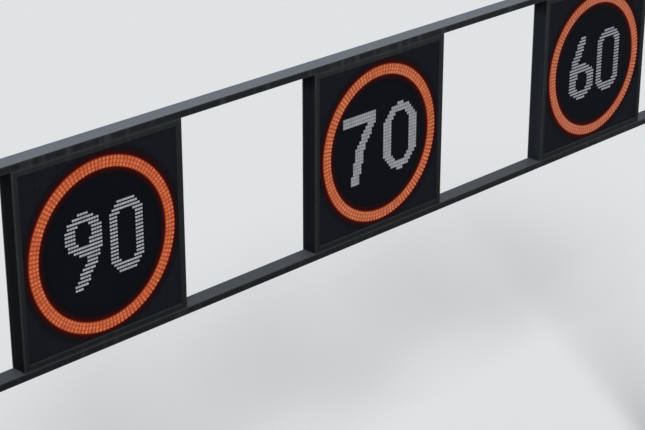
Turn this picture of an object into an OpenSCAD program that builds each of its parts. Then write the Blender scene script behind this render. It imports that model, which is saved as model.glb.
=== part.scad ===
// Overhead sign gantry over three traffic lanes.
// Two slim box rails run between two columns, and three square LED speed signs fill the space
// between the rails, one over each lane. X runs along the beam, the signs face -Y, and Z is up
// from the underside of the base plates. The origin is at the middle of the span.

/* [Beam] */
// Distance from one sign's centre to the next, which is the width of a lane
lane_pitch = 3250; // [2000:10:4000]
// Open bay between the outer signs and the columns
end_bay = 1550; // [300:10:3000]
// Free height from the ground to the bottom rail
clear_height = 5300; // [3000:50:6500]
// Height of a rail
rail_h = 66; // [50:1:120]
// Depth of a rail, front to back
rail_d = 166; // [130:1:260]
// Wall of a rail
rail_wall = 5; // [3:0.5:10]
// Outer corner radius of a rail
rail_r = 8; // [6:0.5:16]

/* [Columns] */
// Width and depth of a column
column_size = 250; // [180:5:400]
// Wall of a column
column_wall = 10; // [5:0.5:16]
// Outer corner radius of a column
column_r = 18; // [12:1:30]
// Height of a column above the top rail
column_over = 110; // [90:5:400]
// Thickness of the cap on a column
cap_t = 10; // [5:1:30]
// How far the cap stands out past the column
cap_over = 8; // [0:1:40]
// Height of the sloping roof on the cap
cap_rise = 14; // [2:1:60]

/* [Base plates] */
// Length of a base plate along the beam
base_w = 600; // [560:10:900]
// Length of a base plate from front to back, where the wind on the signs pushes
base_d = 1000; // [900:10:1300]
// Thickness of a base plate
base_t = 40; // [20:1:60]
// Corner radius of a base plate
base_r = 20; // [5:1:50]
// Distance of an anchor hole's middle from the edges of its base plate
anchor_edge = 60; // [40:1:80]
// Diameter of an anchor hole
anchor_d = 39; // [20:1:50]
// Height of a gusset on the column
gusset_h = 300; // [100:5:500]
// How far a gusset stops short of the edge of the base plate
gusset_edge = 25; // [5:1:60]
// Thickness of a gusset
gusset_t = 15; // [8:1:30]
// Distance between the two gussets on one face of the column
gusset_pitch = 140; // [60:5:200]
// Size of the clipped corners of a gusset
gusset_clip = 22; // [10:1:40]

/* [Rail joints] */
// Thickness of a plate on a rail's end
joint_t = 20; // [10:1:40]
// Thickness of a plate on a column, which the bolts are screwed into
joint_seat_t = 30; // [20:1:50]
// How far a joint plate stands above and below its rail
joint_over = 60; // [45:1:80]
// Diameter of a clearance hole in a plate on a rail's end
joint_hole_d = 26; // [14:1:30]
// Diameter of a threaded hole in a plate on a column
joint_thread_d = 21; // [10:0.5:27]
// Distance of a bolt hole from the plate's edges
joint_edge = 32; // [25:1:40]

/* [Sign box] */
// Width and height of a sign
sign_size = 1700; // [1600:10:2100]
// Sheet thickness of the sign box
sheet_t = 3; // [2:0.5:6]
// Width of the bezel strip
bezel_w = 58; // [30:1:80]
// How far the display sits back behind the bezel's face
bezel_t = 13; // [12:1:30]
// Chamfer on the bezel's outer edge
bezel_edge = 4; // [1:0.5:8]
// Chamfer on the bezel's inner edge
bezel_slope = 10; // [2:0.5:11]
// Thickness of the display panel
panel_t = 6; // [3:1:12]
// Width of the ledge behind the display panel and of the flange at the rear
ledge_w = 30; // [15:1:50]
// Depth of the rear cover's rim
cover_rim = 12; // [8:1:30]
// Height of the ribs pressed into the rear cover
rib_h = 8; // [3:1:15]
// Width of a rib on the rear cover
rib_w = 70; // [40:5:120]
// Distance between ribs
rib_pitch = 600; // [450:10:700]
// Length of a ventilation louvre
louvre_len = 300; // [100:5:350]
// How far the hood of a louvre stands out
louvre_out = 12; // [6:1:20]
// Height of the hood of a louvre
louvre_h = 22; // [12:1:30]
// Distance between louvres
louvre_pitch = 36; // [32:1:50]
// Height of the lowest louvre above the sign's centre
louvre_low = 520; // [100:10:560]
// Gap left where one piece slides in beside another
fit_gap = 0.3; // [0.1:0.1:0.8]

/* [Light dots] */
// Clear panel between the ring of lights and the bezel
ring_margin = 42; // [15:1:100]
// How far the ring's centre is below the sign's centre
ring_drop = 9; // [0:1:12]
// Distance between the three circles of lights
ring_pitch = 33; // [26:0.5:40]
// Gap between two circles of lights
ring_bead_gap = 4; // [2:0.5:12]
// Height of the lights of the ring above the panel
ring_bead_h = 9; // [7:0.5:16]
// Size of the slope along both edges of a circle of lights
ring_bead_slope = 6; // [1:0.5:6.5]
// Distance between columns of dots in a digit
dot_col = 26.6; // [20:0.2:30]
// Distance between rows of dots in a digit
dot_row = 32; // [26:0.2:36]
// Height of one row of lights
dot_d = 24; // [12:1:25]
// Height of a digit's lights above the panel
dot_h = 8; // [4:1:16]

/* [Hidden] */
$fn = 64;
// Extra length that carries a cutter clear of the face it cuts
past = 1;

// Colours as the photo shows them
steel_paint = [0.22, 0.24, 0.27];
sign_paint = [0.13, 0.145, 0.155];
panel_black = [0.07, 0.08, 0.09];
amber = [1.0, 0.42, 0.12];
white_light = [0.93, 0.94, 0.95];

// Beam
LEFT = -1;
RIGHT = 1;
sign_count = 3;
ring_count = 3;
span = (sign_count - 1) * lane_pitch + sign_size + 2 * end_bay;
rail_len = span - 2 * (joint_t + joint_seat_t);
front_y = -rail_d / 2;
back_y = rail_d / 2;
seat_z = clear_height + rail_h;
head_z = seat_z + sign_size + fit_gap;
beam_top_z = head_z + rail_h;
bottom_rail_z = clear_height + rail_h / 2;
top_rail_z = head_z + rail_h / 2;
sign_z = seat_z + sign_size / 2;

// Columns and joints
column_x = span / 2 + column_size / 2;
column_top_z = beam_top_z + column_over;
joint_h = rail_h + 2 * joint_over;
anchor_x = base_w / 2 - anchor_edge;
anchor_y = base_d / 2 - anchor_edge;

// Signs
sign_x = [-lane_pitch, 0, lane_pitch];
panel_y = front_y + bezel_t;
ledge_y = panel_y + panel_t;
rim_y = back_y - cover_rim;
box_inside = sign_size - 2 * sheet_t;
panel_size = box_inside - 2 * fit_gap;
ring_d = sign_size - 2 * (bezel_w + ring_margin);
ring_bead_w = ring_pitch - ring_bead_gap;
rib_len = sign_size - 2 * (ledge_w + rib_w);
louvre_count = 5;
louvre_lip = 3;

// A rectangle with round corners, centred
module round_rect(w, h, r) {
    square([w - 2 * r, h], center = true);
    square([w, h - 2 * r], center = true);
    for (sx = [-1, 1], sy = [-1, 1])
        translate([sx * (w / 2 - r), sy * (h / 2 - r)])
            circle(r);
}

// The section of a box tube
module tube_section(w, h, wall, r) {
    difference() {
        round_rect(w, h, r);
        round_rect(w - 2 * wall, h - 2 * wall, max(r - wall, 1));
    }
}

// A box from one corner to the other
module block(low, high) {
    translate(low)
        cube(high - low);
}

// Beam rails

// A box tube along X with its middle at height z
module rail(z) {
    color(steel_paint)
        translate([0, 0, z])
            rotate([90, 0, 90])
                linear_extrude(rail_len, center = true)
                    tube_section(rail_d, rail_h, rail_wall, rail_r);
}

module bottom_rail() {
    rail(bottom_rail_z);
}

module top_rail() {
    rail(top_rail_z);
}

// Columns and feet

module column(side) {
    color(steel_paint)
        translate([side * column_x, 0, base_t])
            linear_extrude(column_top_z - base_t)
                tube_section(column_size, column_size, column_wall, column_r);
}

// Lid with a low hipped roof, which sheds rain
module column_cap(side) {
    cap_size = column_size + 2 * cap_over;
    color(steel_paint)
        translate([side * column_x, 0, column_top_z]) {
            linear_extrude(cap_t)
                square(cap_size, center = true);
            intersection() {
                roof_prism(cap_size);
                rotate(90)
                    roof_prism(cap_size);
            }
        }
}

module roof_prism(size) {
    translate([0, 0, cap_t])
        rotate([90, 0, 0])
            linear_extrude(size, center = true)
                polygon([[-size / 2, 0], [size / 2, 0], [0, cap_rise]]);
}

// Plate with three anchor holes along each side of the column
module base_plate(side) {
    color(steel_paint)
        translate([side * column_x, 0, 0])
            difference() {
                linear_extrude(base_t)
                    round_rect(base_w, base_d, base_r);
                for (sx = [-1, 1], sy = [-1:1])
                    translate([sx * anchor_x, sy * anchor_y, -past])
                        cylinder(d = anchor_d, h = base_t + 2 * past);
            }
}

// One stiffener with its toe, its head and its root clipped
module gusset(reach) {
    rotate([90, 0, 0])
        linear_extrude(gusset_t, center = true)
            polygon([[gusset_clip, 0], [reach, 0], [reach, gusset_clip],
                [gusset_clip, gusset_h], [0, gusset_h], [0, gusset_clip]]);
}

// Two gussets on each face of the column, as long as the plate allows on that side
module base_gussets(side) {
    color(steel_paint)
        translate([side * column_x, 0, base_t])
            for (turn = [0:90:270], shift = [-1, 1]) {
                plate = turn % 180 == 0 ? base_w : base_d;
                rotate(turn)
                    translate([column_size / 2, shift * gusset_pitch / 2, 0])
                        gusset((plate - column_size) / 2 - gusset_edge);
            }
}

// Bolted joints between the rails and the columns

// A pair of plates of thickness t, one for each rail, with their middles at x and four holes each
module joint_plates(x, t, hole_d) {
    hole_y = rail_d / 2 - joint_edge;
    hole_z = joint_h / 2 - joint_edge;
    color(steel_paint)
        for (z = [bottom_rail_z, top_rail_z])
            translate([x, 0, z])
                difference() {
                    cube([t, rail_d, joint_h], center = true);
                    for (sy = [-1, 1], sz = [-1, 1])
                        translate([0, sy * hole_y, sz * hole_z])
                            rotate([0, 90, 0])
                                cylinder(d = hole_d, h = t + 2 * past, center = true);
                }
}

// Plates welded to the ends of both rails, which the bolts pass through
module rail_end_plates(side) {
    joint_plates(side * (rail_len + joint_t) / 2, joint_t, joint_hole_d);
}

// Thicker plates welded to the inner face of the column, with threads for the bolts
module column_joint_plates(side) {
    joint_plates(side * (span - joint_seat_t) / 2, joint_seat_t, joint_thread_d);
}

// Sign boxes

// A square frame round the sign's centre, between two depths
module square_frame(outer, inner, y0, y1) {
    difference() {
        block([-outer / 2, y0, -outer / 2], [outer / 2, y1, outer / 2]);
        block([-inner / 2, y0 - past, -inner / 2], [inner / 2, y1 + past, inner / 2]);
    }
}

// Folded sheet box, open to the front, with a ledge for the panel and a flange for the cover
module sign_box() {
    ledge_inside = box_inside - 2 * ledge_w;
    color(sign_paint) {
        square_frame(sign_size, box_inside, panel_y, rim_y);
        square_frame(box_inside, ledge_inside, ledge_y, ledge_y + sheet_t);
        square_frame(box_inside, ledge_inside, rim_y - sheet_t, rim_y);
    }
}

// Frame strip seen end on: across the strip, then back from its face
module bezel_section() {
    polygon([[0, bezel_t], [0, bezel_edge], [bezel_edge, 0], [bezel_w - bezel_slope, 0],
        [bezel_w, bezel_slope], [bezel_w, bezel_t]]);
}

// One side of the bezel, mitred at both ends
module bezel_side() {
    half = sign_size / 2;
    intersection() {
        translate([-half, front_y, half])
            rotate([0, 90, 0])
                linear_extrude(sign_size)
                    bezel_section();
        translate([0, front_y - past, 0])
            rotate([-90, 0, 0])
                linear_extrude(bezel_t + 2 * past)
                    polygon([[0, 0], [half + past, -half - past], [-half - past, -half - past]]);
    }
}

module sign_bezel() {
    color(sign_paint)
        for (turn = [0:90:270])
            rotate([0, turn, 0])
                bezel_side();
}

module display_panel() {
    half = panel_size / 2;
    color(panel_black)
        block([-half, panel_y, -half], [half, ledge_y, half]);
}

// An upright rib with sides that slope at 45 degrees
module cover_rib() {
    linear_extrude(rib_len, center = true)
        polygon([[-rib_w / 2, 0], [rib_w / 2, 0], [rib_w / 2 - rib_h, rib_h], [rib_h - rib_w / 2, rib_h]]);
}

// Hood of one louvre, which slopes out from its head down to its lip
module louvre() {
    rotate([90, 0, 90])
        linear_extrude(louvre_len, center = true)
            polygon([[0, 0], [louvre_out, 0], [louvre_out, louvre_lip], [0, louvre_h]]);
}

// Tray that closes the back, stiffened by ribs and vented by louvres
module rear_cover() {
    color(sign_paint) {
        square_frame(sign_size, box_inside, rim_y, back_y - sheet_t);
        block([-sign_size / 2, back_y - sheet_t, -sign_size / 2], [sign_size / 2, back_y, sign_size / 2]);
        for (k = [-1:1])
            translate([k * rib_pitch, back_y, 0])
                cover_rib();
        for (k = [-1, 1], j = [0:louvre_count - 1])
            translate([k * rib_pitch / 2, back_y, louvre_low + j * louvre_pitch])
                louvre();
    }
}

// Light dots

// One circle of lights on the panel, with both its edges sloped
module ring_bead(r) {
    half = ring_bead_w / 2;
    edge_h = ring_bead_h - ring_bead_slope;
    rotate([90, 0, 0])
        rotate_extrude()
            translate([r, 0])
                polygon([[-half, 0], [half, 0], [half, edge_h], [half - ring_bead_slope, ring_bead_h],
                    [ring_bead_slope - half, ring_bead_h], [-half, edge_h]]);
}

module led_ring() {
    outer_r = (ring_d - ring_bead_w) / 2;
    color(amber)
        translate([0, panel_y, -ring_drop])
            for (k = [0:ring_count - 1])
                ring_bead(outer_r - k * ring_pitch);
}

// Places in a digit are in dots from its centre, x to the right and z up

// Whether a place is in a box of w by h whose corners are cut by a curve.
// A form of 1 cuts them straight, and a form of 2 makes them round.
function in_box(x, z, w, h, rx, rz, form) =
    let (dx = abs(x) - (w / 2 - rx), dz = abs(z) - (h / 2 - rz))
    abs(x) <= w / 2 && abs(z) <= h / 2
    && (dx <= 0 || dz <= 0 || pow(dx / rx, form) + pow(dz / rz, form) <= 1);

// Whether a place is on the closed stroke just inside such a box
function in_loop(x, z, w, h, stroke, rx, rz, form) =
    in_box(x, z, w, h, rx, rz, form)
    && !in_box(x, z, w - 2 * stroke, h - 2 * bar_rows, max(rx - stroke, 1.5), max(rz - bar_rows, 1.5), form);

// Whether a place is on a slanting stroke from one height down to another
function in_slant(x, z, from, to, half) =
    z <= from[1] && z >= to[1]
    && abs(x - from[0] - (to[0] - from[0]) * (z - from[1]) / (to[1] - from[1])) <= half;

// Rows of dots in a horizontal stroke
bar_rows = 3;
// Rows of dots in the bowl of a nine or a six
bowl_rows = 12;
// Columns by which a nine's tail has moved inwards at the foot of its bowl
tail_knee_in = 0.9;
// How much narrower half a nine's tail is in its last row
tail_tip = 0.8;
// Where the leg of a seven bends and where it ends, in columns from the digit's middle
leg_knee_x = 0.5;
leg_foot_x = -2.3;
// Extra half width of a slanting stroke
slant_extra = 0.3;
// Rows from the sign's centre up to a digit's top row
top_row = 10;

// Each digit's shape, columns, rows, columns in an upright stroke, its corners' columns, rows
// and form, how many columns its middle is to the right of the sign's centre, and for a nine or
// a six how many columns the foot of its tail is in from the side. All dots are on one grid.
NINE = ["nine", 14, 21, 4, 7, 4.9, 1.6, -7.5, 7.6];
NARROW_ZERO = ["zero", 13, 20, 3, 4, 3.6, 1.2, 9];
SEVEN = ["seven", 16, 21, 3.6, 1, 1, 1, -10.5];
WIDE_ZERO = ["zero", 17, 21, 4, 8.5, 6, 1.5, 10];
SIX = ["six", 15, 21, 4, 7.5, 4.5, 1.6, -8, 6];
MIDDLE_ZERO = ["zero", 14, 21, 3, 4.5, 3.8, 1.2, 8.5];

function zero_dot(g, x, z) = in_loop(x, z, g[1], g[2], g[3], g[4], g[5], g[6]);

// A bowl with a tail that bends down to the left
function nine_dot(g, x, z) =
    let (bowl_z = (g[2] - bowl_rows) / 2, side = (g[1] - g[3]) / 2, half = g[3] / 2 + slant_extra)
    let (knee = [side - tail_knee_in, bowl_z - bowl_rows / 2], foot = [side - g[8], -g[2] / 2])
    in_loop(x, z - bowl_z, g[1], bowl_rows, g[3], g[4], g[5], g[6])
    || in_slant(x, z, [side, bowl_z], knee, half)
    || in_slant(x, z, knee, foot, z < foot[1] + 1 ? half - tail_tip : half);

// A bar with a leg that bends at half height
function seven_dot(g, x, z) =
    let (bar_z = g[2] / 2 - bar_rows, half = g[3] / 2 + slant_extra)
    z > bar_z
    || in_slant(x, z, [(g[1] - g[3]) / 2, bar_z], [leg_knee_x, 0], half)
    || in_slant(x, z, [leg_knee_x, 0], [leg_foot_x, -g[2] / 2], half);

function lit(g, x, z) =
    g[0] == "zero" ? zero_dot(g, x, z)
    : g[0] == "seven" ? seven_dot(g, x, z)
    : g[0] == "six" ? nine_dot(g, -x, -z)
    : nine_dot(g, x, z);

// Whether the dot in column i from the left and row j from the top is on
function dot_on(g, i, j) =
    i >= 0 && i < g[1] && lit(g, i + 0.5 - g[1] / 2, g[2] / 2 - j - 0.5);

// How many dots are on from column i to the right
function run(g, i, j) = dot_on(g, i, j) ? 1 + run(g, i + 1, j) : 0;

// A row of n dots as one strip with round ends, from the middle of its first dot
module dot_strip(n) {
    linear_extrude(dot_h) {
        for (k = [0, n - 1])
            translate([k * dot_col, 0])
                circle(d = dot_d);
        if (n > 1)
            translate([0, -dot_d / 2])
                square([(n - 1) * dot_col, dot_d]);
    }
}

// A digit, row by row, with a strip from each dot that has none to its left
module digit(g) {
    left = (g[7] - (g[1] - 1) / 2) * dot_col;
    color(white_light)
        for (j = [0:g[2] - 1], i = [0:g[1] - 1])
            if (dot_on(g, i, j) && !dot_on(g, i - 1, j))
                translate([left + i * dot_col, panel_y, (top_row - j) * dot_row])
                    rotate([90, 0, 0])
                        dot_strip(run(g, i, j));
}

// Puts a sign's piece in its bay
module in_bay(k) {
    translate([sign_x[k], 0, sign_z])
        children();
}

column(LEFT);  // left_column
column(RIGHT);  // right_column
column_cap(LEFT);  // left_column_cap
column_cap(RIGHT);  // right_column_cap
base_plate(LEFT);  // left_base_plate
base_plate(RIGHT);  // right_base_plate
base_gussets(LEFT);  // left_base_gussets
base_gussets(RIGHT);  // right_base_gussets
bottom_rail();
top_rail();
rail_end_plates(LEFT);  // left_rail_end_plates
rail_end_plates(RIGHT);  // right_rail_end_plates
column_joint_plates(LEFT);  // left_column_joint_plates
column_joint_plates(RIGHT);  // right_column_joint_plates
in_bay(0) sign_box();  // sign_90_box
in_bay(0) sign_bezel();  // sign_90_bezel
in_bay(0) display_panel();  // sign_90_display_panel
in_bay(0) rear_cover();  // sign_90_rear_cover
in_bay(0) led_ring();  // sign_90_led_ring
in_bay(0) digit(NINE);  // sign_90_digit_nine
in_bay(0) digit(NARROW_ZERO);  // sign_90_digit_zero
in_bay(1) sign_box();  // sign_70_box
in_bay(1) sign_bezel();  // sign_70_bezel
in_bay(1) display_panel();  // sign_70_display_panel
in_bay(1) rear_cover();  // sign_70_rear_cover
in_bay(1) led_ring();  // sign_70_led_ring
in_bay(1) digit(SEVEN);  // sign_70_digit_seven
in_bay(1) digit(WIDE_ZERO);  // sign_70_digit_zero
in_bay(2) sign_box();  // sign_60_box
in_bay(2) sign_bezel();  // sign_60_bezel
in_bay(2) display_panel();  // sign_60_display_panel
in_bay(2) rear_cover();  // sign_60_rear_cover
in_bay(2) led_ring();  // sign_60_led_ring
in_bay(2) digit(SIX);  // sign_60_digit_six
in_bay(2) digit(MIDDLE_ZERO);  // sign_60_digit_zero
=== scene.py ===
# %% [markdown]
# Overhead sign gantry
# A slim steel portal spans three lanes. Two box rails run between its columns, and a square light
# sign fills the space between the rails over each lane. The steelwork and the sign boxes come
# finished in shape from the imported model, so this script gives them their paint, and then makes
# what is too small for that model: every single lamp, the bolts, the screws and the welds.

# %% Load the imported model
import math

import bmesh
import bpy
from mathutils import Matrix, Vector


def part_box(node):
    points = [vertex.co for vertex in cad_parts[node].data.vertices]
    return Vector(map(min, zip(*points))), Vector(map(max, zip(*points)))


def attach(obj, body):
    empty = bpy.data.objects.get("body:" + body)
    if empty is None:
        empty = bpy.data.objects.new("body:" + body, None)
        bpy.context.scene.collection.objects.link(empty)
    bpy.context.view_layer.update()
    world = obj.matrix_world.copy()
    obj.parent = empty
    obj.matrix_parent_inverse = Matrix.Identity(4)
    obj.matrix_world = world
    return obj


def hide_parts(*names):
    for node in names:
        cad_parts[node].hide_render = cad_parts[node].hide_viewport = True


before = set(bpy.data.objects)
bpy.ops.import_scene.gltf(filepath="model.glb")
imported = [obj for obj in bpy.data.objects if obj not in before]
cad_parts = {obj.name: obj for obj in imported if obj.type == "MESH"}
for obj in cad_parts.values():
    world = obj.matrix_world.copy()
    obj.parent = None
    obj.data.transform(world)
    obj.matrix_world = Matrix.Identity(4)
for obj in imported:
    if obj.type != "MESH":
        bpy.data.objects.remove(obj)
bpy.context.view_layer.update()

# %% [markdown]
# Where the signs are
# Everything on a sign face is laid out from the middle of its display panel or of its ring. The
# boxes of those nodes give both points, so they are read from the model and not typed in. The signs
# face -Y, so the front of a panel is its lowest Y. A ring hangs a little below the middle of its sign.

# %% Find the middle of each display and ring
SIGNS = ("90", "70", "60")


def middle_at(node, y):
    """The middle of a node, moved along Y to a plane."""
    low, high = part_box(node)
    return Vector(((low.x + high.x) / 2, y, (low.z + high.z) / 2))


face_middle, ring_middle = {}, {}
for number in SIGNS:
    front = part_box(f"sign_{number}_display_panel")[0].y
    face_middle[number] = middle_at(f"sign_{number}_display_panel", front)
    ring_middle[number] = middle_at(f"sign_{number}_led_ring", front)
    drop = 1000 * (face_middle[number].z - ring_middle[number].z)
    spot = tuple(round(v, 3) for v in face_middle[number])
    print(f"{number} sign has its middle at {spot} and its ring {drop:.0f} mm lower")

# %% [markdown]
# Camera
# The photograph looks down along the beam from the front left, through a long lens. The direction
# was worked out from the rings, which are true circles, and from the rails, which are parallel.
# A camera in Blender looks down its own -Z. Two plain rotations are the easiest to read: tip it up
# from straight down, then turn it round the vertical. The angles are in degrees, the lens and its
# sensor in millimetres.

# %% Place the camera
SENSOR_W, LENS = 36, 102.63
TURNED_RIGHT, LOOKING_DOWN = 45.60, 22.74
CAMERA_AT = (-11.637, -10.728, 12.103)

photo_lens = bpy.data.cameras.new("photo_camera")
photo_lens.sensor_width = SENSOR_W
photo_lens.lens = LENS
photo_camera = bpy.data.objects.new("photo_camera", photo_lens)
bpy.context.scene.collection.objects.link(photo_camera)
turned = Matrix.Rotation(math.radians(-TURNED_RIGHT), 4, "Z")
tipped = Matrix.Rotation(math.radians(90 - LOOKING_DOWN), 4, "X")
photo_camera.matrix_world = Matrix.Translation(CAMERA_AT) @ turned @ tipped
bpy.context.scene.camera = photo_camera
print("camera stands at", tuple(round(v, 2) for v in photo_camera.matrix_world.translation))

# %% [markdown]
# Shader maths in plain Python
# A material is a graph of nodes, and sums in it take a Math node each. Wiring those by hand hides the
# idea, so one small class wraps an output and lets Python's own signs add the nodes. A second class
# holds the graph of one real finish. Its one method adds any node: settings first, because some
# of them change the sockets, and then values and links.

# %% Wrap a node's output
class Wire:
    """An output in a finish. Arithmetic on it adds Math nodes."""

    def __init__(self, finish, socket):
        self.finish = finish
        self.socket = socket

    def sum(self, operation, *values):
        return self.finish.add("ShaderNodeMath", {"operation": operation}, dict(enumerate(values)))

    def __add__(self, other):
        return self.sum("ADD", self, other)

    def __sub__(self, other):
        return self.sum("SUBTRACT", self, other)

    def __rsub__(self, other):
        return self.sum("SUBTRACT", other, self)

    def __mul__(self, other):
        return self.sum("MULTIPLY", self, other)

    def __truediv__(self, other):
        return self.sum("DIVIDE", self, other)

    def __gt__(self, other):
        return self.sum("GREATER_THAN", self, other)

    def __lt__(self, other):
        return self.sum("LESS_THAN", self, other)

    def __abs__(self):
        return self.sum("ABSOLUTE", self)

    __radd__ = __add__
    __rmul__ = __mul__

    def at_most(self, other):
        return self.sum("MINIMUM", self, other)

    def at_least(self, other):
        return self.sum("MAXIMUM", self, other)

    def from_0_to_1(self):
        return self.at_least(0).at_most(1)

    def ramp(self, zero_at, one_at):
        """An even slope from 0 to 1 between two values, level on both sides of them."""
        return ((self - zero_at) / (one_at - zero_at)).from_0_to_1()

    def fraction(self):
        return self.sum("FRACT", self)


# %% Hold the graph of one finish
class Finish:
    """The material of one real surface, round one Principled shader."""

    def __init__(self, name, constants):
        self.material = bpy.data.materials.new(name)
        self.material.use_nodes = True
        self.tree = self.material.node_tree
        self.shader = self.tree.nodes["Principled BSDF"]
        for socket, value in constants.items():
            self.shader.inputs[socket].default_value = value

    def add(self, kind, settings=None, inputs=None, output=0):
        """Adds a node and returns one of its outputs."""
        node = self.tree.nodes.new(kind)
        for name, value in (settings or {}).items():
            if name == "stops":
                self.set_stops(node.color_ramp.elements, value)
            else:
                setattr(node, name, value)
        for name, value in (inputs or {}).items():
            if isinstance(value, Wire):
                self.tree.links.new(value.socket, node.inputs[name])
            else:
                node.inputs[name].default_value = value
        return Wire(self, node.outputs[output])

    def set_stops(self, elements, stops):
        """Fills a colour ramp with its positions and colours."""
        while len(elements) < len(stops):
            elements.new(1)
        for element, (position, colour) in zip(elements, stops):
            element.position = position
            element.color = self.with_alpha(colour)

    def with_alpha(self, colour):
        return colour if isinstance(colour, Wire) else (*colour, 1)

    def feed(self, socket, wire):
        self.tree.links.new(wire.socket, self.shader.inputs[socket])

    def place(self):
        return self.add("ShaderNodeTexCoord", output="Object")

    def axes(self, vector):
        """The three parts of a vector."""
        parts = self.add("ShaderNodeSeparateXYZ", {}, {"Vector": vector})
        return [Wire(self, socket) for socket in parts.socket.node.outputs]

    def noise(self, scale, detail=2, stretch=(1, 1, 1)):
        """Cloudy grain from 0 to 1, scale blobs to a metre, stretched along the axes."""
        where = self.add("ShaderNodeMapping", {}, {"Vector": self.place(), "Scale": stretch})
        return self.add("ShaderNodeTexNoise", {}, {"Vector": where, "Scale": scale, "Detail": detail})

    def mix(self, share, under, over):
        """The colour under, covered by the colour over where share is 1."""
        # A Mix node for colours takes them at its sockets 6 and 7, and gives the mixture at output 2
        colours = {0: share, 6: self.with_alpha(under), 7: self.with_alpha(over)}
        return self.add("ShaderNodeMix", {"data_type": "RGBA"}, colours, 2)

    def bump(self, height, distance):
        """Relief of that many metres for a height from 0 to 1."""
        self.feed("Normal", self.add("ShaderNodeBump", {}, {"Height": height, "Distance": distance}))


# %% [markdown]
# Light and floor
# The object should show its own colours, so the light is plain: an even white sky, and one wide,
# soft sun. The photograph's shadow tells where that stands. It lies 6.3 m behind the beam, which
# hangs 6.2 m up, and it reaches far to the right, so the light comes from the front left. The sky
# lights the object at less than half strength, but seen directly or in a reflection it is pure white.

# %% Light the scene
SKY_LIGHT, SEEN_SKY = 0.46, 1.0
SUN_LIGHT, SUN_WIDTH = 2.2, 17
SUN_FROM_LEFT = 42
SHADOW_BEHIND, BEAM_UP = 6.3, 6.2

sky = bpy.data.worlds.new("studio_sky")
sky.use_nodes = True
bpy.context.scene.world = sky
sky_nodes = sky.node_tree.nodes
sky_links = sky.node_tree.links
ray = sky_nodes.new("ShaderNodeLightPath")
seen = ray.outputs["Is Camera Ray"]
for kind in ("Is Glossy Ray", "Is Transmission Ray"):
    either = sky_nodes.new("ShaderNodeMath")
    either.operation = "MAXIMUM"
    sky_links.new(seen, either.inputs[0])
    sky_links.new(ray.outputs[kind], either.inputs[1])
    seen = either.outputs[0]
brightness = sky_nodes.new("ShaderNodeMapRange")
brightness.inputs["To Min"].default_value = SKY_LIGHT
brightness.inputs["To Max"].default_value = SEEN_SKY
sky_links.new(seen, brightness.inputs["Value"])
sky_nodes["Background"].inputs["Color"].default_value = (1, 1, 1, 1)
sky_links.new(brightness.outputs[0], sky_nodes["Background"].inputs["Strength"])

sun = bpy.data.lights.new("soft_sun", "SUN")
sun.energy = SUN_LIGHT
sun.angle = math.radians(SUN_WIDTH)
sun_lamp = bpy.data.objects.new("soft_sun", sun)
from_left = math.radians(SUN_FROM_LEFT)
from_above = math.atan(SHADOW_BEHIND / BEAM_UP / math.cos(from_left))
sun_lamp.matrix_world = Matrix.Rotation(-from_left, 4, "Z") @ Matrix.Rotation(from_above, 4, "X")
bpy.context.scene.collection.objects.link(sun_lamp)
bpy.context.scene.view_settings.view_transform = "Standard"
print(f"sun stands {90 - math.degrees(from_above):.0f} degrees above the horizon")

# %% Lay the floor
FLOOR_HALF = 200

floor_mesh = bpy.data.meshes.new("studio_floor")
floor_form = bmesh.new()
bmesh.ops.create_grid(floor_form, x_segments=1, y_segments=1, size=FLOOR_HALF)
floor_form.to_mesh(floor_mesh)
floor_form.free()
studio_floor = bpy.data.objects.new("studio_floor", floor_mesh)
bpy.context.scene.collection.objects.link(studio_floor)
pale = Finish("pale_floor", {"Base Color": (0.86, 0.87, 0.88, 1), "Roughness": 0.9,
                             "Specular IOR Level": 0.1})
floor_mesh.materials.append(pale.material)
print("floor is", 2 * FLOOR_HALF, "m square")

# %% [markdown]
# Dark paint on steel
# The portal is powder coated in a satin anthracite. Outdoors such paint picks up a film of pale
# dust on every face that looks up, rain draws faint streaks down the upright faces, the foot is
# splashed, and the coat wears thin along edges. The pale film on the upward faces is also bright
# enough to stand in for the light that falls on them, so it is dust and painted top light together.
# All of it could be painted as an image, but then each piece would need its own unwrapped surface.
# Instead each effect is a share from 0 to 1, worked out from where a point is and which way it faces,
# so it fits every piece at once.
# A point is near an edge of a box when it is near two of its faces. So of its distances from the
# faces along the three axes, the middle one counts.

# %% Find how near a point is to an edge of a box
def edge_share(finish, box, reach):
    """1 on the edges of a box and 0 further than reach from them."""
    sides = zip(finish.axes(finish.place()), *box)
    x, y, z = (abs((part - low).at_most(high - part)) for part, low, high in sides)
    middle = x.at_most(y).at_least(x.at_least(y).at_most(z))
    return middle.ramp(reach, 0)


# %% Change the brightness or tint of a colour
def scaled(colour, level):
    return [c * level for c in colour]


def tinted(colour, tint):
    return [c * t for c, t in zip(colour, tint)]


# %% [markdown]
# Some finishes change along a piece, and these changes are painted light and shade. The sign boxes
# are painted paler towards the top and darker at the foot, as painted light from above. Their walls
# are painted darker close under the top rail, as the rail's painted shade. The dust on the rails is
# painted bluer at the back, as a painted reflection of blue light, and paler at the front. Each of
# these is a small function that takes the plain colour and the box of the piece.

# %% Change a colour along a piece
# Painted light and shade along a piece: a lit paler top, a shaded foot, shade under the top rail, tints of
# light on the dust.
BLACK, PAINTED_TOP_LIGHT = (0, 0, 0), (0.2, 0.2, 0.2)
FOOT_SHADE_SHARE, TOP_LIGHT_SHARE = 0.26, 0.025
SHADE_FROM, SHADE_FULL, SHADE = 0.20, 0.08, 0.6
DUST_BLUE_LIGHT_AT_BACK, DUST_PALE_LIGHT_AT_FRONT = (0.93, 1.08, 1.27), (1.13, 1.11, 1.09)


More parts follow.
